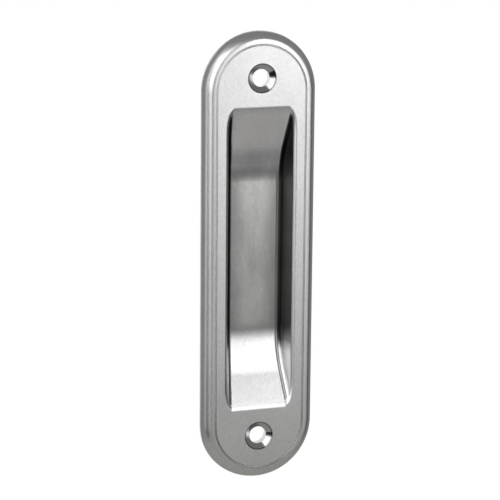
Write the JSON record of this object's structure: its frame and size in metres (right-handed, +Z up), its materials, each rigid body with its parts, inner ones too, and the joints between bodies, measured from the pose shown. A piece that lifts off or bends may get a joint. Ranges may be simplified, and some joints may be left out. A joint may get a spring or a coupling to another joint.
{
  "type": "recessed pull handle",
  "caption": "Oblong flush pull for a sliding door: satin metal plate with a stepped, rounded rim, a long scooped finger recess and countersunk screw holes.",
  "frame": {"origin": "middle of the plane where the back of the rim meets the door, half way between the two screw holes", "axes": "+Z up along the plate's length, +X across it to the right as seen from the front, +Y into the door; the recess opens toward -Y"},
  "size_m": [0.04, 0.009, 0.155],
  "materials": {
    "satin_metal": "satin"
  },
  "bodies": {
    "root": {"pull_body": "satin_metal"}
  },
  "joints": []
}
